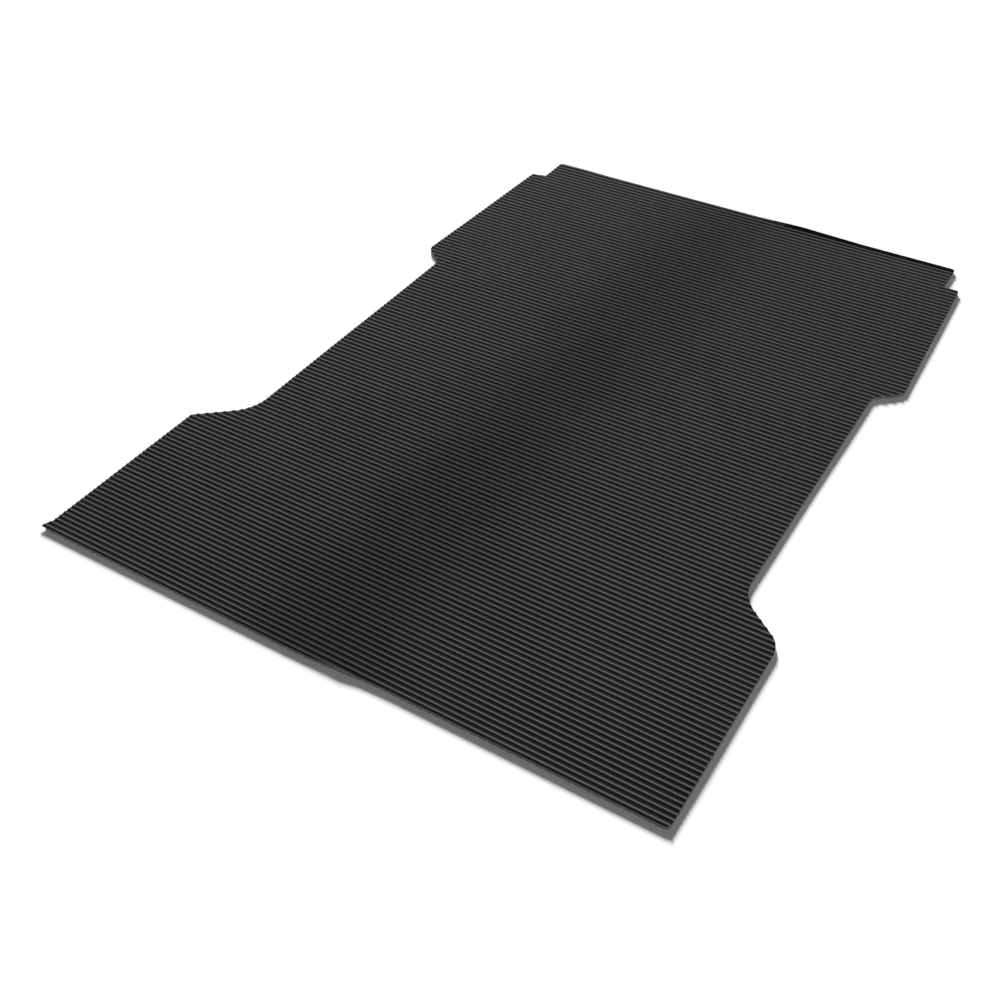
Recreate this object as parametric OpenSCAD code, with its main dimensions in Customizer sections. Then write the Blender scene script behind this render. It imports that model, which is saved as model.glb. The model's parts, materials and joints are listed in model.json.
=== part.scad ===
// Ribbed rubber mat for a pickup truck's load bed.
// Five layers, vulcanised face to face, all cut to one outline.
// X runs across the bed, +Y towards the tailgate, +Z up.
// The origin is on the bed floor, in the middle of the mat.

/* [Outline] */
// Length from the cab edge to the tailgate edge
mat_length = 2070; // [1960:10:2500]
// Full width, ahead of the wheel wells
cab_width = 1500; // [1430:10:1620]
// Width between the wheel wells
well_width = 1270; // [1200:10:1300]
// Width just behind the wheel wells
rear_width = 1394; // [1360:2:1480]
// Width at the tailgate notches, where the rear part is narrowest
notch_width = 1352; // [1340:2:1400]
// Width of the tongue that lies between the tailgate pillars
tongue_width = 1268; // [1200:2:1300]
// Length of that tongue
tongue_length = 109; // [60:1:160]

/* [Wheel wells] */
// Distance from the cab edge to the middle of the front step
front_step_y = 528; // [450:2:600]
// Length over which the front step runs inwards
front_step_run = 92; // [60:2:140]
// Distance from the cab edge to the middle of the rear step
rear_step_y = 1390; // [1250:2:1460]
// Length over which the rear step runs outwards
rear_step_run = 46; // [30:2:80]

/* [Corners] */
// Radius where the front step leaves the full width
front_outer_r = 62; // [20:1:70]
// Radius where the front step meets the wheel well
front_inner_r = 100; // [20:1:110]
// Radius where the rear step leaves the wheel well
rear_inner_r = 26; // [5:1:40]
// Radius where the rear step meets the rear part
rear_outer_r = 34; // [5:1:40]
// Radius of the cab corners
cab_corner_r = 10; // [2:1:40]
// Radius of the corners of the tailgate notches
notch_r = 10; // [1:1:20]
// Radius of the corners of the tongue
tongue_corner_r = 12; // [1:1:30]

/* [Ribs] */
// Number of ribs along the mat
rib_count = 140; // [100:1:160]
// Width of one rib at its foot
rib_width = 8.4; // [6:0.1:10]
// Height of one rib
rib_height = 1.8; // [1:0.1:3]
// Flat faces around the top of one rib, an odd number
rib_facets = 5; // [3:2:9]

/* [Layers] */
// Thickness of the rubber under the ribs
top_web = 2.9; // [1:0.1:4]
// Thickness of each nylon ply
ply_thick = 0.5; // [0.3:0.1:1]
// Thickness of the gum that bonds the two plies
skim_thick = 0.6; // [0.3:0.1:1.5]
// Thickness of the bottom cover
bottom_thick = 3.2; // [2.5:0.1:6]

/* [Drainage channels] */
// Distance from one channel to the next
channel_pitch = 20; // [15:1:40]
// Width of one channel
channel_width = 8; // [4:0.5:12]
// Depth of one channel
channel_depth = 1.8; // [0.5:0.1:2]

/* [Hidden] */

// Heights of the joints between the layers, from the floor up
lower_ply_z = bottom_thick;
skim_z = lower_ply_z + ply_thick;
upper_ply_z = skim_z + skim_thick;
top_z = upper_ply_z + ply_thick;
valley_z = top_z + top_web;

rib_pitch = mat_length / rib_count;
cab_y = -mat_length / 2;
arc_steps = 10;    // straight pieces in each rounded corner
cut_over = 5;      // how far a cutter runs past what it cuts

// One corner of the outline is [x, y, radius]. These run up the +X side.
side_corners = [
    [cab_width / 2, 0, cab_corner_r],
    [cab_width / 2, front_step_y - front_step_run / 2, front_outer_r],
    [well_width / 2, front_step_y + front_step_run / 2, front_inner_r],
    [well_width / 2, rear_step_y - rear_step_run / 2, rear_inner_r],
    [rear_width / 2, rear_step_y + rear_step_run / 2, rear_outer_r],
    [notch_width / 2, mat_length - tongue_length, notch_r],
    [tongue_width / 2, mat_length - tongue_length, notch_r],
    [tongue_width / 2, mat_length, tongue_corner_r],
];

// The other side is the same list, mirrored and taken backwards
outline_corners = concat(
    side_corners,
    [for (i = [len(side_corners) - 1 : -1 : 0])
        [-side_corners[i].x, side_corners[i].y, side_corners[i].z]]
);

function unit(v) = v / norm(v);
function xy(p) = [p.x, p.y];

// Points of the arc that rounds corner b, between its neighbours a and c
function rounded_corner(a, b, c) =
    let (
        to_a = unit(xy(a) - xy(b)),
        to_c = unit(xy(c) - xy(b)),
        half_angle = acos(to_a * to_c) / 2,
        centre = xy(b) + unit(to_a + to_c) * b.z / sin(half_angle),
        start = xy(b) + to_a * b.z / tan(half_angle) - centre,
        end = xy(b) + to_c * b.z / tan(half_angle) - centre,
        turn = 180 - 2 * half_angle
    )
    [for (i = [0 : arc_steps])
        let (t = turn * i / arc_steps)
        centre + (start * sin(turn - t) + end * sin(t)) / sin(turn)];

outline_points = [
    for (i = [0 : len(outline_corners) - 1])
        let (
            before = outline_corners[(i + len(outline_corners) - 1) % len(outline_corners)],
            after = outline_corners[(i + 1) % len(outline_corners)]
        )
        each rounded_corner(before, outline_corners[i], after)
];

// Upper side of the ribs, as [y, z] points: one faceted half ellipse for each rib
rib_points = [
    for (rib = [0 : rib_count - 1])
        let (middle = cab_y + (rib + 0.5) * rib_pitch)
        for (i = [0 : rib_facets])
            let (a = 180 * i / rib_facets, crest = sin(90 - 90 / rib_facets))
            [middle - rib_width / 2 * cos(a), valley_z + rib_height * sin(a) / crest]
];

// A slab in the shape of the mat
module mat_slab(z, thick) {
    translate([0, cab_y, z])
        linear_extrude(thick) polygon(outline_points);
}

// A bar as wide as the mat whose upper side carries all the ribs
module ribbed_bar() {
    bar_length = cab_width + 2 * cut_over;
    end_y = mat_length / 2 + cut_over;
    profile = concat(
        [[-end_y, top_z], [-end_y, valley_z]],
        rib_points,
        [[end_y, valley_z], [end_y, top_z]]
    );
    translate([-bar_length / 2, 0, 0])
        rotate([90, 0, 90])
            linear_extrude(bar_length) polygon(profile);
}

// The channels let water run out towards the tailgate
module drainage_channels() {
    per_side = ceil(cab_width / 2 / channel_pitch);
    for (i = [-per_side : per_side])
        translate([i * channel_pitch - channel_width / 2, cab_y - cut_over, -cut_over])
            cube([channel_width, mat_length + 2 * cut_over, cut_over + channel_depth]);
}

module ribbed_top_cover() {
    color([0.13, 0.13, 0.13])
        intersection() {
            mat_slab(top_z, top_web + rib_height);
            ribbed_bar();
        }
}

module upper_nylon_ply() {
    color([0.62, 0.60, 0.55])
        mat_slab(upper_ply_z, ply_thick);
}

module skim_gum_layer() {
    color([0.08, 0.08, 0.08])
        mat_slab(skim_z, skim_thick);
}

module lower_nylon_ply() {
    color([0.62, 0.60, 0.55])
        mat_slab(lower_ply_z, ply_thick);
}

module channelled_bottom_cover() {
    color([0.16, 0.16, 0.16])
        difference() {
            mat_slab(0, bottom_thick);
            drainage_channels();
        }
}

ribbed_top_cover();
upper_nylon_ply();
skim_gum_layer();
lower_nylon_ply();
channelled_bottom_cover();
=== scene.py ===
"""Looks of the ribbed rubber bed mat. Every length is in metres, in the row frame."""

import json
import math

import bmesh
import bpy
import numpy as np
from mathutils import Matrix, Vector

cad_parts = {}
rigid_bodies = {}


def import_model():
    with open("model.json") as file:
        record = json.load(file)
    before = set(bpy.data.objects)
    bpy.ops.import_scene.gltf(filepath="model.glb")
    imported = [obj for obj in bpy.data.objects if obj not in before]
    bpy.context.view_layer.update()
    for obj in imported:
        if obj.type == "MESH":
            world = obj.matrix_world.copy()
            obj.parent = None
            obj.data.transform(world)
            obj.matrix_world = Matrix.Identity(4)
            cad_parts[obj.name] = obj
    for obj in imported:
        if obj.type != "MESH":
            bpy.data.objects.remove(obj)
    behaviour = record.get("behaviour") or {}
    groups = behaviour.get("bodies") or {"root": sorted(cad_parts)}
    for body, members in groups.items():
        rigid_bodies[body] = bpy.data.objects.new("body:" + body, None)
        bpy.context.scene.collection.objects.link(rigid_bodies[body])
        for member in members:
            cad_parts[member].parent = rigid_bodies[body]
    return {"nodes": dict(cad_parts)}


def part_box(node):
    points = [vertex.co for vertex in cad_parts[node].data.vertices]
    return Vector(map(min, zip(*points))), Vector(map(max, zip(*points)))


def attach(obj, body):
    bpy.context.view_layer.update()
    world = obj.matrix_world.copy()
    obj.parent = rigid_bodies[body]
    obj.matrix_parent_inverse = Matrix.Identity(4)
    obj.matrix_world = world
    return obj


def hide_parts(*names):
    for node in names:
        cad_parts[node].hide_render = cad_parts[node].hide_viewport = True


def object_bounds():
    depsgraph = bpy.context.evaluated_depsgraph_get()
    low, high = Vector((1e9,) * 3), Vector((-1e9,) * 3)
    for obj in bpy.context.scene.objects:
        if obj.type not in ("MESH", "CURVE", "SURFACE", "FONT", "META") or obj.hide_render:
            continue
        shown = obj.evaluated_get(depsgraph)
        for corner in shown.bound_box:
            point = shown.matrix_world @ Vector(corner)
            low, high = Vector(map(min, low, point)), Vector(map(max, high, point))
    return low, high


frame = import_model()
cad_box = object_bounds()

# The ribs. There are as many as in the CAD model, but they are rounder, and their pitch grows along
# the mat: at the tailgate it is PITCH_GROWTH times the pitch at the cab
RIB_COUNT = 140
PITCH_GROWTH = 1.35

# The section of a rib, at the mean pitch: a round crest, and a round foot on each side of it
RIB_HEIGHT = 0.0018
CREST_R = 0.0042
FOOT_R = 0.0014
FLANK_ANGLE = math.acos(1 - RIB_HEIGHT / (CREST_R + FOOT_R))
CREST_END = CREST_R * math.sin(FLANK_ANGLE)
FOOT_END = (CREST_R + FOOT_R) * math.sin(FLANK_ANGLE)

# The drainage channels in the underside
CHANNEL_PITCH = 0.020
CHANNEL_MOUTH = 0.008
CHANNEL_FLOOR = 0.006
CHANNEL_DEPTH = 0.0018

# The cab edge is cut a little longer on the -X side, through one more rib. Only the points within
# EXTRA_CUT_REACH of the edge move out, on EXTRA_CUT_ROWS rows in the top cover
EXTRA_CUT = 0.0125
EXTRA_CUT_FULL_X = -0.070
EXTRA_CUT_NONE_X = 0.170
EXTRA_CUT_REACH = 0.0034
EXTRA_CUT_ROWS = 14

# The stretches of y that hold the steps at the wheel wells
FRONT_STEP_Y = (-0.62, -0.40)
REAR_STEP_Y = (0.28, 0.44)

# The steps don't lie quite where the CAD model has them: how much nearer the tailgate the inner and
# the outer end of each one is
STEP_SHIFTS = {
    "-X": {FRONT_STEP_Y: (-0.020, -0.025), REAR_STEP_Y: (-0.003, -0.005)},
    "+X": {FRONT_STEP_Y: (0.008, 0.011), REAR_STEP_Y: (0.005, 0.013)},
}

# How far the ledge of the tailgate notch on the -X side slants
SLANTED_LEDGE = 0.010

# The cab corner on the -X side is square along this much of its side. The ribbed cover ends there
# in a thin sliver, which stands out sideways and starts SLIVER_WIDTH in from the corner
SQUARE_CORNER = 0.012
SLIVER = 0.010
SLIVER_WIDTH = 0.030

# On the +X side the last rib at the tailgate gives way to a plain border, painted near black as shade.
# It starts to show at the first x and is all there at the second
BORDER_WIDTH = 0.0205
BORDER_FROM_X = (0.040, 0.130)

# Where the mat stands off the floor: (x, reach, height) of each rise along the tailgate edge
TAILGATE_LIFTS = ((0.190, 0.170, 0.0045), (-0.590, 0.080, 0.0025))
TAILGATE_REACH = 0.060

# Low waves, a WAVE_LENGTH apart along the mat. WAVE_SLANT is how many radians they turn for each
# metre towards +X, and they die out over the last WAVE_FADE at each end
WAVE_LIFT = 0.0007
WAVE_LENGTH = 0.52
WAVE_SLANT = 1.7
WAVE_FADE = 0.15

# How the plan is divided. Rows run across the mat, and columns along it. The plain layers' rows are
# END_ROW apart over the last CAB_END and TAILGATE_REACH, STEP_ROW apart at the steps and OPEN_ROW
# apart elsewhere
END_ROW = 0.006
STEP_ROW = 0.008
OPEN_ROW = 0.065
CAB_END = 0.10
LEDGE_ROWS = 6
SIDE_COLUMNS = 9
MIDDLE_COLUMNS = 8
CUT_COLUMNS = 7
BORDER_COLUMNS = 3

# Points nearer than these to the outline's corners or to a shared column are left out
CLEAR_OF_CORNERS = 2e-4
CLEAR_OF_COLUMNS = 5e-5

# Decimals to which the CAD model's corners and the points in plan are rounded, so that equal ones
# merge, and the area of a face that counts as nothing
CAD_DECIMALS = 6
PLAN_DECIMALS = 7
NO_AREA = 1e-10

# Edges that fold more sharply than this are shaded as creases, in degrees
CREASE = 48

# The rubber, and the line along the mat where the rib crests are painted darkest, as painted shade
RUBBER_IOR = 1.5
DUST = (0.050, 0.049, 0.047)
GRAIN_DEPTH = 0.00006
PAINTED_SHADE_LINE_X = -0.045
PAINTED_SHADE_REACH = 0.27

# The threads of the nylon plies, and of the cloth whose print is in the underside. WAVE_RADIANS is
# how fast the wave texture turns at a scale of 1
THREAD_PITCH = 0.0009
PRINT_PITCH = 0.0016
WAVE_RADIANS = 20.0

# The stage
FLOOR_HALF_SIZE = 14.0
FLOOR_GAP = 0.0002
BACKDROP_RADIUS = 13.0
SUN_DISTANCE = 5.0
SKY_STRENGTH = 0.068

# The camera, with its roll in degrees
SENSOR_MM = 36.0
FOCAL_MM = 45.08
CAMERA_PLACE = (1.1647, -2.2351, 1.8500)
CAMERA_TARGET = (0.0536, -0.4569, 0.0070)
CAMERA_ROLL = -0.57
VIEW_DEPTH = 60.0

(MIN_X, MIN_Y, FLOOR_Z), (MAX_X, MAX_Y, TOP_Z) = (tuple(corner) for corner in cad_box)
LENGTH = MAX_Y - MIN_Y
RIB_PITCH = LENGTH / RIB_COUNT
VALLEY_Z = TOP_Z - RIB_HEIGHT


# ---------------------------------------------------------------- shape of the mat

def smooth(t):
    """0 below 0, 1 above 1, and a smooth step between."""
    t = np.clip(t, 0.0, 1.0)
    return t * t * (3.0 - 2.0 * t)


def outline_of(node):
    """The +X side of a flat layer, from the cab to the tailgate, as rows of (y, half width)."""
    places = [v.co for v in frame["nodes"][node].data.vertices]
    corners = {(round(place.y, CAD_DECIMALS), round(place.x, CAD_DECIMALS)) for place in places}
    side = sorted((y, -x) for y, x in corners if x > 0)
    return np.array([(y, -minus_x) for y, minus_x in side])


OUTLINE = outline_of("upper_nylon_ply")


def border(x, y):
    """1 on the plain border at the tailgate edge, and 0 elsewhere."""
    return (y > MAX_Y - BORDER_WIDTH) * smooth((x - BORDER_FROM_X[0]) / np.ptp(BORDER_FROM_X))


def ribs_before(y):
    """How many ribs lie between the cab edge and each y."""
    share = np.log1p((PITCH_GROWTH - 1) * (y - MIN_Y) / LENGTH) / math.log(PITCH_GROWTH)
    return RIB_COUNT * share


def y_after(ribs):
    """The y at which so many ribs have been passed, counted from the cab edge."""
    return MIN_Y + LENGTH * (PITCH_GROWTH ** (ribs / RIB_COUNT) - 1) / (PITCH_GROWTH - 1)


def rib_relief(x, y):
    """Height of the ribs above the valleys: a round crest that runs into round feet."""
    d = np.abs(np.mod(ribs_before(y), 1.0) - 0.5) * RIB_PITCH
    crest = RIB_HEIGHT - CREST_R + np.sqrt(np.clip(CREST_R**2 - d**2, 0, None))
    foot = FOOT_R - np.sqrt(np.clip(FOOT_R**2 - (FOOT_END - d) ** 2, 0, None))
    relief = np.select([d <= CREST_END, d <= FOOT_END], [crest, foot], 0.0)
    return relief * (1 - border(x, y))


def rib_rows():
    """The y of every row of points that the ribs need, and more rows where the cut runs longer."""
    crest_middle = CREST_R * math.sin(FLANK_ANGLE / 2)
    foot_middle = FOOT_END - FOOT_R * math.sin(FLANK_ANGLE / 2)
    one_side = [crest_middle, CREST_END, foot_middle, FOOT_END]
    offsets = [0.0, *one_side, *(-d for d in one_side), RIB_PITCH / 2]
    middles = np.arange(RIB_COUNT) + 0.5
    rows = y_after((middles[:, None] + np.array(offsets)[None, :] / RIB_PITCH).ravel())
    extra_rib = MIN_Y + np.linspace(0, EXTRA_CUT_REACH, EXTRA_CUT_ROWS)
    return np.concatenate([rows[rows > MIN_Y + EXTRA_CUT_REACH], extra_rib])


def channel_relief(x):
    """Height of the underside above the bed floor at each x."""
    d = np.abs(np.mod(x / CHANNEL_PITCH + 0.5, 1.0) - 0.5) * CHANNEL_PITCH
    slope = (CHANNEL_MOUTH / 2 - d) / ((CHANNEL_MOUTH - CHANNEL_FLOOR) / 2)
    return CHANNEL_DEPTH * np.clip(slope, 0.0, 1.0)


def lift(x, y):
    """How far the mat stands off the floor: low waves, and rises along the tailgate edge.

    The rises bend only at the columns that all the layers share, so that they stay face to face.
    """
    turn = 2 * math.pi * (y - MIN_Y) / WAVE_LENGTH + WAVE_SLANT * x
    waves = WAVE_LIFT * (1 - np.cos(turn)) / 2
    waves *= smooth((MAX_Y - np.abs(y)) / WAVE_FADE)
    end = np.clip((y - (MAX_Y - TAILGATE_REACH)) / TAILGATE_REACH, 0, 1)
    bends = sheet_columns()
    rises = sum(
        height * smooth(1 - np.abs(bends - middle) / reach) for middle, reach, height in TAILGATE_LIFTS
    )
    return waves + np.interp(x, bends, rises) * end**2


def cut_y(x, y):
    """Moves the cab edge out where the mat is cut longer, and leaves the rest in place."""
    share = smooth((EXTRA_CUT_NONE_X - x) / (EXTRA_CUT_NONE_X - EXTRA_CUT_FULL_X))
    fade = np.clip(1 - (y - MIN_Y) / EXTRA_CUT_REACH, 0, 1)
    return y - EXTRA_CUT * share * fade


# ---------------------------------------------------------------- meshes

def within(y, span):
    """Whether each y lies inside a stretch of y."""
    return (y > span[0]) & (y < span[1])


def moved_steps(side):
    """The outline of one side, as y and half width, with its steps where this mat has them."""
    y, width = OUTLINE.T.copy()
    for span, (inner_shift, outer_shift) in STEP_SHIFTS[side].items():
        step = within(y, span)
        outward = (width[step] - width[step].min()) / np.ptp(width[step])
        y[step] += inner_shift + (outer_shift - inner_shift) * outward
    return y, width


def half_widths(y):
    """The half width of the -X and the +X side at each y.

    The front step on the -X side has a sharp outer corner: its straight part runs on to the full
    width, past the rounded corner of the CAD model.
    """
    left_y, left_width = moved_steps("-X")
    left = np.interp(y, left_y, left_width)
    front = np.flatnonzero(within(left_y, FRONT_STEP_Y))
    start = front[np.argmax(np.diff(left_y[front]))]
    slope = (left_width[start + 1] - left_width[start]) / (left_y[start + 1] - left_y[start])
    straight_on = left_width[start] + slope * (y - left_y[start])
    left = np.maximum(left, np.minimum(straight_on, MAX_X))
    return left, np.interp(y, *moved_steps("+X"))


def rows_between(wanted):
    """Rows of (y, left, right): the outline's corners, and the wanted ones that don't crowd them."""
    in_a_step = within(OUTLINE[:, 0], FRONT_STEP_Y) | within(OUTLINE[:, 0], REAR_STEP_Y)
    own = OUTLINE[~in_a_step]
    nearest = np.abs(wanted[:, None] - own[None, :, 0]).min(1)
    kept = wanted[(nearest > CLEAR_OF_CORNERS) & within(wanted, (MIN_Y, MAX_Y))]
    extra = np.unique(np.round(kept, PLAN_DECIMALS))
    rows = np.concatenate([np.stack([extra, *half_widths(extra)], 1), own[:, [0, 1, 1]]])
    rows = rows[np.lexsort((-rows[:, 2], rows[:, 0]))]
    square_off_cab_corner(rows)
    slant_notch_ledge(rows)
    return rows


def square_off_cab_corner(rows):
    """Gives the rows at the cab edge their full width on the -X side."""
    rows[rows[:, 0] < MIN_Y + SQUARE_CORNER, 1] = MAX_X


def slant_notch_ledge(rows):
    """Lets the rows just past the ledge of the tailgate notch on the -X side narrow step by step."""
    ledge, outer, inner = notch_ledge()
    on_ledge = (rows[:, 0] >= ledge) & (rows[:, 0] < ledge + SLANTED_LEDGE)
    slanted = outer + (inner - outer) * (rows[:, 0] - ledge) / SLANTED_LEDGE
    rows[on_ledge, 1] = np.maximum(rows[on_ledge, 1], slanted[on_ledge])


def notch_ledge():
    """The y of the tailgate notches' straight ledges, and the half widths at their two ends."""
    first = int(np.argmax(np.diff(OUTLINE[:, 0]) == 0))
    return OUTLINE[first, 0], OUTLINE[first, 1], OUTLINE[first + 1, 1]


def trimmed_grid(rows, columns):
    """Points (x, y) and faces of a grid in plan, with each row's ends pulled in to the outline."""
    x = np.clip(columns[None, :], -rows[:, 1:2], rows[:, 2:3])
    y = np.broadcast_to(rows[:, 0][:, None], x.shape)
    plan = np.round(np.stack([x, y], -1).reshape(-1, 2), PLAN_DECIMALS)
    points, index = np.unique(plan, axis=0, return_inverse=True)
    index = index.reshape(x.shape)
    quads = np.stack([index[:-1, :-1], index[:-1, 1:], index[1:, 1:], index[1:, :-1]], -1)
    quads = quads.reshape(-1, 4)
    corner = points[quads]
    after = np.roll(corner, -1, axis=1)
    area = (corner[..., 0] * after[..., 1] - corner[..., 1] * after[..., 0]).sum(1) / 2
    faces = []
    for quad in quads[area > NO_AREA].tolist():
        faces.append([c for i, c in enumerate(quad) if c != quad[i - 1]])
    return points, faces


def rim_of(faces):
    """The edges that only one face uses, each in that face's direction."""
    edges = {(face[i - 1], face[i]) for face in faces for i in range(len(face))}
    return [(a, b) for a, b in sorted(edges) if (b, a) not in edges]


def sliver_x(x, y, reach):
    """Moves the cab corner on the -X side out sideways by the reach, and leaves the rest in place."""
    across = np.clip(1 - (x - MIN_X) / SLIVER_WIDTH, 0, 1)
    along = np.clip(1 - (y - MIN_Y) / SQUARE_CORNER, 0, 1)
    return x - reach * (across * along) ** 2


def closed_mesh(name, upper, lower, faces, materials):
    """A solid between two copies of the same faces. Its walls take the last of the materials."""
    n = len(upper)
    walls = [(b, a, a + n, b + n) for a, b in rim_of(faces)]
    undersides = [[c + n for c in reversed(face)] for face in faces]
    mesh = bpy.data.meshes.new(name)
    mesh.from_pydata(np.concatenate([upper, lower]).tolist(), [], faces + walls + undersides)
    for material in materials:
        mesh.materials.append(material)
    slots = np.zeros(len(mesh.polygons), np.int32)
    slots[len(faces):len(faces) + len(walls)] = len(materials) - 1
    mesh.polygons.foreach_set("material_index", slots)
    mesh.shade_smooth()
    mesh.set_sharp_from_angle(angle=math.radians(CREASE))
    mesh.update()
    return mesh


def layer(name, rows, columns, under, over, materials, sliver=0.0):
    """One layer, cut to the outline, between two heights above the floor where the mat lies flat."""
    points, faces = trimmed_grid(rows, columns)
    plan_x, plan_y = points.T
    x, y = sliver_x(plan_x, plan_y, sliver), cut_y(plan_x, plan_y)
    stand = lift(x, y)
    upper = np.stack([x, y, stand + over(x, y)], 1)
    lower = np.stack([x, y, stand + under(x, y)], 1)
    mesh = closed_mesh(name, upper, lower, faces, materials)
    piece = bpy.data.objects.new(name, mesh)
    bpy.context.scene.collection.objects.link(piece)
    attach(piece, "root")
    return piece


def add_attribute(piece, name, values):
    """A number for each point of the mesh, which a material can read."""
    attribute = piece.data.attributes.new(name, "FLOAT", "POINT")
    attribute.data.foreach_set("value", np.asarray(values, np.float32))


def sheet_columns():
    """The x of every column that all the layers share."""
    notch = np.array(notch_ledge()[1:])
    side = np.concatenate([notch, np.linspace(notch.min(), MAX_X, SIDE_COLUMNS)])
    middle = np.linspace(0, notch.min(), MIDDLE_COLUMNS)[:-1]
    cut = np.linspace(EXTRA_CUT_FULL_X, EXTRA_CUT_NONE_X, CUT_COLUMNS)
    plain = np.linspace(*BORDER_FROM_X, BORDER_COLUMNS)
    return np.unique(np.round(np.concatenate([side, -side, middle, -middle, cut, plain]), PLAN_DECIMALS))


def channel_columns():
    """The shared columns and those of the drainage channels."""
    count = math.ceil(MAX_X / CHANNEL_PITCH)
    middles = np.arange(-count, count + 1) * CHANNEL_PITCH
    offsets = np.array([-CHANNEL_MOUTH, -CHANNEL_FLOOR, CHANNEL_FLOOR, CHANNEL_MOUTH]) / 2
    channels = (middles[:, None] + offsets[None, :]).ravel()
    shared = sheet_columns()
    clear = np.abs(channels[:, None] - shared[None, :]).min(1) > CLEAR_OF_COLUMNS
    kept = channels[clear & (np.abs(channels) < MAX_X)]
    return np.unique(np.round(np.concatenate([shared, kept]), PLAN_DECIMALS))


def plain_rows():
    """Rows for the layers that have no ribs: close together only at the ends and the steps."""
    cab_end = MIN_Y + np.arange(0, CAB_END, END_ROW)
    tailgate_end = MAX_Y - np.arange(0, TAILGATE_REACH, END_ROW)
    steps = np.concatenate([np.arange(*step, STEP_ROW) for step in (FRONT_STEP_Y, REAR_STEP_Y)])
    ledge = notch_ledge()[0] + np.linspace(0, SLANTED_LEDGE, LEDGE_ROWS)
    spread = np.arange(MIN_Y, MAX_Y, OPEN_ROW)
    return rows_between(np.concatenate([spread, cab_end, tailgate_end, steps, ledge]))


# ---------------------------------------------------------------- materials

def new_material(name, **inputs):
    """A material with the Principled shader's own sockets set, and its node tree."""
    material = bpy.data.materials.new(name)
    material.use_nodes = True
    tree = material.node_tree
    shader = tree.nodes["Principled BSDF"]
    for socket, value in inputs.items():
        shader.inputs[socket.replace("_", " ")].default_value = value
    return material, tree, shader


def add_node(tree, kind, inputs=None, **settings):
    """A node with its settings, and its inputs either linked or set."""
    node = tree.nodes.new(kind)
    for name, value in settings.items():
        setattr(node, name, value)
    for key, value in (inputs or {}).items():
        if isinstance(value, bpy.types.NodeSocket):
            tree.links.new(value, node.inputs[key])
        else:
            node.inputs[key].default_value = value
    return node


def place_of(tree, stretch=(1.0, 1.0, 1.0)):
    """Coordinates in the row frame, stretched along each axis."""
    coordinates = add_node(tree, "ShaderNodeTexCoord")
    mapping = add_node(tree, "ShaderNodeMapping", {"Vector": coordinates.outputs["Object"]})
    mapping.inputs["Scale"].default_value = stretch
    return mapping.outputs["Vector"]


def noise(tree, scale, detail=2.0, roughness=0.5, stretch=(1.0, 1.0, 1.0)):
    """Noise whose features are about 1/scale metres across."""
    place = place_of(tree, stretch)
    inputs = {"Vector": place, "Scale": scale, "Detail": detail, "Roughness": roughness}
    return add_node(tree, "ShaderNodeTexNoise", inputs).outputs["Fac"]


def remap(tree, value, low, high, to_low=0.0, to_high=1.0, curve="LINEAR"):
    """A value spread from one range to another, and held inside it."""
    inputs = {"Value": value, "From Min": low, "From Max": high, "To Min": to_low, "To Max": to_high}
    node = add_node(tree, "ShaderNodeMapRange", inputs, clamp=True, interpolation_type=curve)
    return node.outputs["Result"]


def math_node(tree, operation, a, b):
    """One sum, product or the like."""
    return add_node(tree, "ShaderNodeMath", {0: a, 1: b}, operation=operation).outputs[0]


def mix_colour(tree, factor, a, b):
    """Colour a where the factor is 0 and colour b where it is 1. Each is an RGB tuple or a socket."""
    node = add_node(tree, "ShaderNodeMix", data_type="RGBA")
    for socket, value in ((node.inputs[0], factor), (node.inputs[6], a), (node.inputs[7], b)):
        if isinstance(value, bpy.types.NodeSocket):
            tree.links.new(value, socket)
        else:
            socket.default_value = (*value, 1.0) if isinstance(value, tuple) else value
    return node.outputs[2]


def bump(tree, shader, reliefs):
    """Stacks bumps on the shader's normal, each one (height from 0 to 1, depth in metres)."""
    normal = None
    for height, depth in reliefs:
        inputs = {"Height": height, "Distance": depth, "Strength": 1.0}
        if normal is not None:
            inputs["Normal"] = normal
        normal = add_node(tree, "ShaderNodeBump", inputs).outputs["Normal"]
    tree.links.new(normal, shader.inputs["Normal"])


def across_mat(tree):
    """The distance from the middle of the mat, towards +X."""
    return add_node(tree, "ShaderNodeSeparateXYZ", {0: place_of(tree)}).outputs["X"]


def painted_shade_band(tree):
    """1 along the line where the crests are painted darkest as shade, just off the middle, and 0 at the
    sides.
    """
    off_line = math_node(tree, "SUBTRACT", across_mat(tree), PAINTED_SHADE_LINE_X)
    distance = math_node(tree, "ABSOLUTE", off_line, 0.0)
    return remap(tree, distance, 0.0, PAINTED_SHADE_REACH, 1.0, 0.0, curve="SMOOTHERSTEP")


def rubber_grain(tree):
    """Height of the fine grain that the mould leaves."""
    return noise(tree, 1400.0, detail=2.0)


def dust_flecks(tree):
    """Small flecks, coarser than the grain, where dust catches."""
    return noise(tree, 260.0, detail=3.0, roughness=0.7)


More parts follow.
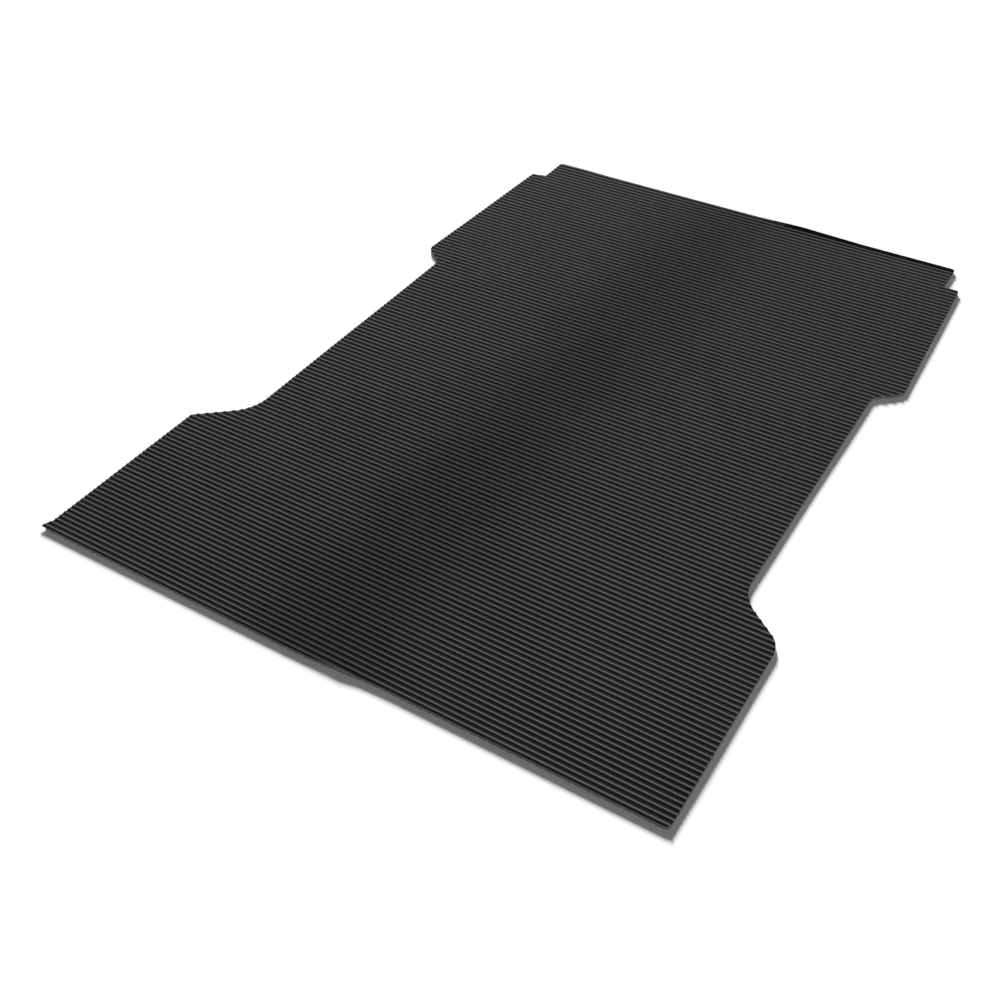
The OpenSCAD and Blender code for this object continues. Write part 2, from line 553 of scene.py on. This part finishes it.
def ribbed_rubber():
    """Moulded black rubber: dull in the valleys and rubbed smoother on the crests. Its colour is painted
    darker in the valleys as shade and greyer on the crests as a highlight.

    The rib attribute is 0 in the valleys, 1 on the crests and less than 0 on the plain border.
    """
    material, tree, shader = new_material("ribbed_rubber", IOR=RUBBER_IOR, Specular_IOR_Level=0.03)
    rib = add_node(tree, "ShaderNodeAttribute", attribute_name="rib").outputs["Fac"]
    cloud = remap(tree, noise(tree, 5.0, detail=4.0), 0.35, 0.65)
    streak = remap(tree, noise(tree, 30.0, detail=3.0, stretch=(0.25, 1.0, 1.0)), 0.3, 0.7)
    fleck = dust_flecks(tree)

    # Painted shade and painted highlight: the valley colour is darker and the crest colour lighter, in
    # place of the ribs' shading
    valley = mix_colour(tree, cloud, (0.0095, 0.0095, 0.0097), (0.0125, 0.0125, 0.0127))
    crest = mix_colour(tree, streak, (0.042, 0.042, 0.043), (0.050, 0.050, 0.051))
    # Painted light: the crests are coloured lighter towards +X, where the lamps give them less sheen
    crest = mix_colour(tree, remap(tree, across_mat(tree), 0.05, 0.45), crest, (0.058, 0.058, 0.059))
    # Painted shade: the crests are coloured darker in a band along the middle of the mat
    crest = mix_colour(tree, painted_shade_band(tree), crest, (0.025, 0.025, 0.026))
    ribbed = mix_colour(tree, remap(tree, rib, 0.0, 0.65), valley, crest)
    dusty = mix_colour(tree, remap(tree, fleck, 0.62, 0.80, 0.0, 0.20), ribbed, DUST)
    # Painted shade: where the rib attribute is below 0 the plain border is coloured near black
    colour = mix_colour(tree, remap(tree, rib, -1.0, 0.0), (0.0015, 0.0015, 0.0016), dusty)
    tree.links.new(colour, shader.inputs["Base Color"])

    rub = remap(tree, rib, 0.0, 1.0, 0.95, 0.78)
    roughness = math_node(tree, "ADD", rub, remap(tree, fleck, 0.3, 0.7, -0.04, 0.04))
    tree.links.new(roughness, shader.inputs["Roughness"])
    bump(tree, shader, [(rubber_grain(tree), GRAIN_DEPTH), (fleck, GRAIN_DEPTH)])
    return material


def border_rubber_painted_shade():
    """The plain border at the tailgate: painted near black as shade, and without gloss."""
    material, tree, shader = new_material("border_rubber_painted_shade", IOR=RUBBER_IOR, Specular_IOR_Level=0.0)
    cloud = remap(tree, noise(tree, 40.0, detail=4.0), 0.35, 0.65)
    fleck = dust_flecks(tree)
    colour = mix_colour(tree, cloud, (0.0030, 0.0030, 0.0031), (0.0060, 0.0060, 0.0061))
    dusty = mix_colour(tree, remap(tree, fleck, 0.62, 0.80, 0.0, 0.10), colour, DUST)
    tree.links.new(dusty, shader.inputs["Base Color"])
    tree.links.new(remap(tree, fleck, 0.3, 0.7, 0.88, 0.98), shader.inputs["Roughness"])
    bump(tree, shader, [(rubber_grain(tree), GRAIN_DEPTH), (fleck, GRAIN_DEPTH)])
    return material


def cut_rubber():
    """The cut edge of the mat: rougher, with fine upright marks, and greyer, partly as cut rubber and
    partly as a painted highlight along the edge.
    """
    material, tree, shader = new_material("cut_rubber", IOR=RUBBER_IOR, Specular_IOR_Level=0.35)
    marks = noise(tree, 700.0, detail=2.0, stretch=(1.0, 1.0, 0.15))
    patches = noise(tree, 40.0, detail=3.0)
    blend = math_node(tree, "MULTIPLY", remap(tree, marks, 0.3, 0.7), remap(tree, patches, 0.3, 0.7))
    # Partly painted highlight: the cut edge is coloured much lighter than the rest of the rubber
    colour = mix_colour(tree, blend, (0.110, 0.110, 0.110), (0.150, 0.149, 0.147))
    tree.links.new(colour, shader.inputs["Base Color"])
    tree.links.new(remap(tree, marks, 0.3, 0.7, 0.65, 0.85), shader.inputs["Roughness"])
    bump(tree, shader, [(marks, 0.00015)])
    return material


def bottom_rubber():
    """The underside: matt rubber with the print of the cloth that it was pressed on."""
    material, tree, shader = new_material("bottom_rubber", IOR=RUBBER_IOR, Specular_IOR_Level=0.35)
    cloud = remap(tree, noise(tree, 6.0, detail=4.0), 0.35, 0.65)
    scuff = noise(tree, 70.0, detail=5.0, roughness=0.65, stretch=(1.0, 0.3, 1.0))
    colour = mix_colour(tree, cloud, (0.018, 0.018, 0.019), (0.027, 0.027, 0.028))
    dusty = mix_colour(tree, remap(tree, scuff, 0.56, 0.74, 0.0, 0.5), colour, (0.075, 0.073, 0.069))
    tree.links.new(dusty, shader.inputs["Base Color"])
    tree.links.new(remap(tree, scuff, 0.3, 0.7, 0.62, 0.80), shader.inputs["Roughness"])
    bump(tree, shader, [(weave(tree, PRINT_PITCH), 0.0001), (scuff, 0.0001)])
    return material


def weave(tree, thread_pitch):
    """Height of a plain weave with threads along X and Y."""
    scale = 2 * math.pi / (thread_pitch * WAVE_RADIANS)
    bands = []
    for direction in ("X", "Y"):
        inputs = {"Vector": place_of(tree), "Scale": scale, "Distortion": 0.0}
        wave = add_node(tree, "ShaderNodeTexWave", inputs, wave_type="BANDS", bands_direction=direction)
        bands.append(wave.outputs["Fac"])
    return math_node(tree, "MAXIMUM", *bands)


def nylon():
    """Dipped nylon fabric, brown-grey, in a plain weave."""
    material, tree, shader = new_material("nylon_ply", Sheen_Weight=0.3, Sheen_Roughness=0.5)
    threads = weave(tree, THREAD_PITCH)
    tone = remap(tree, noise(tree, 50.0, detail=3.0), 0.3, 0.7)
    thread = mix_colour(tree, tone, (0.105, 0.098, 0.088), (0.165, 0.155, 0.138))
    cloth = mix_colour(tree, threads, (0.045, 0.042, 0.039), thread)
    tree.links.new(cloth, shader.inputs["Base Color"])
    tree.links.new(remap(tree, threads, 0.0, 1.0, 0.85, 0.70), shader.inputs["Roughness"])
    bump(tree, shader, [(threads, 0.0002)])
    return material


def gum():
    """The thin bonding gum, dull and slightly pitted where it is cut."""
    material, tree, shader = new_material("skim_gum", IOR=RUBBER_IOR)
    pits = noise(tree, 900.0, detail=2.0)
    colour = mix_colour(tree, pits, (0.012, 0.012, 0.012), (0.026, 0.026, 0.027))
    tree.links.new(colour, shader.inputs["Base Color"])
    tree.links.new(remap(tree, pits, 0.3, 0.7, 0.6, 0.8), shader.inputs["Roughness"])
    bump(tree, shader, [(pits, 0.0001)])
    return material


# ---------------------------------------------------------------- pieces

def level(z):
    """A flat height, the same everywhere."""
    return lambda x, y: np.full(len(x), z)


def underside(node):
    """The height of a CAD layer's flat underside."""
    return level(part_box(node)[0].z)


def ribbed(x, y):
    """The height of the mat's upper side."""
    return VALLEY_Z + rib_relief(x, y)


def channelled(x, y):
    """The height of the mat's underside, which doesn't change along y."""
    return channel_relief(x)


def top_cover(edge):
    """The ribbed cover, with its plain border."""
    materials = [ribbed_rubber(), border_rubber_painted_shade(), edge]
    rows = rows_between(rib_rows())
    under = underside("ribbed_top_cover")
    piece = layer("mat_top_cover", rows, sheet_columns(), under, ribbed, materials, SLIVER)
    plain_border(piece.data)
    mark_ribs(piece)
    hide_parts("ribbed_top_cover")


def plain_border(mesh):
    """Gives the upper faces of the border the second of the mesh's materials, which is painted near
    black as shade.
    """
    for face in mesh.polygons:
        at_edge = face.center.x > BORDER_FROM_X[1] and face.center.y > MAX_Y - BORDER_WIDTH
        if at_edge and face.normal.z > 0.5:
            face.material_index = 1


def mark_ribs(piece):
    """Tells the material where the ribs are: the first half of the points is the upper side."""
    count = len(piece.data.vertices) // 2
    x, y, _ = np.array([v.co for v in piece.data.vertices[:count]]).T
    # The rib attribute carries the painted shade of the valleys, the painted highlight of the crests
    # and, below 0, the border painted near black as shade
    rib = rib_relief(x, y) / RIB_HEIGHT - 2 * border(x, y)
    add_attribute(piece, "rib", np.concatenate([rib, np.zeros(count)]))


def bottom_cover(edge, rows):
    """The cover that lies on the bed floor, with its drainage channels."""
    materials = [bottom_rubber(), edge]
    over = underside("lower_nylon_ply")
    piece = layer("mat_bottom_cover", rows, channel_columns(), channelled, over, materials)
    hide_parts("channelled_bottom_cover")
    return piece


def inner_layer(node, above, material, rows):
    """A flat layer that reaches up to the CAD layer above it."""
    under, over = underside(node), underside(above)
    piece = layer("mat_" + node, rows, sheet_columns(), under, over, [material])
    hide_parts(node)
    return piece


def nylon_ply(node, above, material, rows):
    """A nylon ply, built as a flat layer that reaches up to the CAD layer above it."""
    piece = inner_layer(node, above, material, rows)
    return piece


def make_mat():
    """The five bonded layers. The top cover comes first, and the others from the floor up."""
    edge = cut_rubber()
    rows = plain_rows()
    top_cover(edge)
    bottom = bottom_cover(edge, rows)
    cloth = nylon()
    nylon_ply("lower_nylon_ply", "skim_gum_layer", cloth, rows)
    skim = inner_layer("skim_gum_layer", "upper_nylon_ply", gum(), rows)
    nylon_ply("upper_nylon_ply", "ribbed_top_cover", cloth, rows)


# ---------------------------------------------------------------- stage

def make_floor():
    """A pale floor that runs well past the picture, just under the mat."""
    mesh = bpy.data.meshes.new("studio_floor")
    turns = ((-1, -1), (1, -1), (1, 1), (-1, 1))
    corners = [(i * FLOOR_HALF_SIZE, j * FLOOR_HALF_SIZE, FLOOR_Z - FLOOR_GAP) for i, j in turns]
    mesh.from_pydata(corners, [], [(0, 1, 2, 3)])
    material, tree, shader = new_material("studio_floor", Roughness=1.0, Specular_IOR_Level=0.0)
    paper = noise(tree, 3.0, detail=3.0)
    colour = mix_colour(tree, paper, (0.88, 0.88, 0.88), (0.90, 0.90, 0.90))
    tree.links.new(colour, shader.inputs["Base Color"])
    mesh.materials.append(material)
    floor = bpy.data.objects.new("studio_floor", mesh)
    bpy.context.scene.collection.objects.link(floor)


def make_backdrop():
    """A white shell around the studio, which the camera sees. It neither lights nor shades the mat."""
    mesh = bpy.data.meshes.new("studio_backdrop")
    shell = bmesh.new()
    bmesh.ops.create_uvsphere(shell, u_segments=64, v_segments=32, radius=BACKDROP_RADIUS)
    shell.to_mesh(mesh)
    shell.free()
    material, _, shader = new_material("studio_backdrop", Roughness=1.0)
    shader.inputs["Base Color"].default_value = (0.0, 0.0, 0.0, 1.0)
    shader.inputs["Emission Color"].default_value = (1.0, 1.0, 1.0, 1.0)
    shader.inputs["Emission Strength"].default_value = 1.0
    mesh.materials.append(material)
    backdrop = bpy.data.objects.new("studio_backdrop", mesh)
    bpy.context.scene.collection.objects.link(backdrop)
    for rays in ("diffuse", "glossy", "transmission", "volume_scatter", "shadow"):
        setattr(backdrop, "visible_" + rays, False)


def aim(thing, target, roll=0.0):
    """Turns a camera or light to look at a point."""
    direction = Vector(target) - thing.location
    turn = direction.to_track_quat("-Z", "Y").to_matrix()
    thing.rotation_euler = (turn @ Matrix.Rotation(roll, 3, "Z")).to_euler()


def sun(name, azimuth, elevation, strength, softness):
    """A distant soft light, with its angles in degrees. Azimuth 0 is +Y, and 90 is +X."""
    data = bpy.data.lights.new(name, "SUN")
    data.energy = strength
    data.angle = math.radians(softness)
    light = bpy.data.objects.new(name, data)
    a, e = math.radians(azimuth), math.radians(elevation)
    direction = Vector((math.sin(a) * math.cos(e), math.cos(a) * math.cos(e), math.sin(e)))
    light.location = direction * SUN_DISTANCE
    aim(light, (0, 0, 0))
    bpy.context.scene.collection.objects.link(light)
    return light


def make_lights():
    """The key light is behind the mat, low enough to shade the ribs. The fill is in front of it."""
    sun("key", azimuth=-36, elevation=18, strength=10.4, softness=13)
    sun("fill", azimuth=140, elevation=12, strength=1.4, softness=40)
    rim = sun("rim", azimuth=8, elevation=30, strength=2.2, softness=40)
    light_only_the_mat(rim)


def light_only_the_mat(light):
    """Keeps a light off the floor, so that it casts no shadow there."""
    receivers = bpy.data.collections.new("rim_light_receivers")
    for thing in bpy.context.scene.objects:
        if thing.type == "MESH" and thing.name.startswith("mat_"):
            receivers.objects.link(thing)
    light.light_linking.receiver_collection = receivers


def make_sky():
    """An even white light from all round, and colours that are shown as they are."""
    world = bpy.data.worlds.new("studio")
    world.use_nodes = True
    background = world.node_tree.nodes["Background"]
    background.inputs["Color"].default_value = (1.0, 1.0, 1.0, 1.0)
    background.inputs["Strength"].default_value = SKY_STRENGTH
    bpy.context.scene.world = world
    bpy.context.scene.view_settings.view_transform = "Standard"


def make_camera():
    """The photograph's viewpoint: beyond the cab edge on the +X side, looking down over the mat."""
    data = bpy.data.cameras.new("camera")
    data.sensor_width = SENSOR_MM
    data.lens = FOCAL_MM
    data.clip_end = VIEW_DEPTH
    camera = bpy.data.objects.new("camera", data)
    camera.location = CAMERA_PLACE
    aim(camera, CAMERA_TARGET, roll=math.radians(CAMERA_ROLL))
    bpy.context.scene.collection.objects.link(camera)
    bpy.context.scene.camera = camera


make_mat()
make_floor()
make_backdrop()
make_lights()
make_sky()
make_camera()
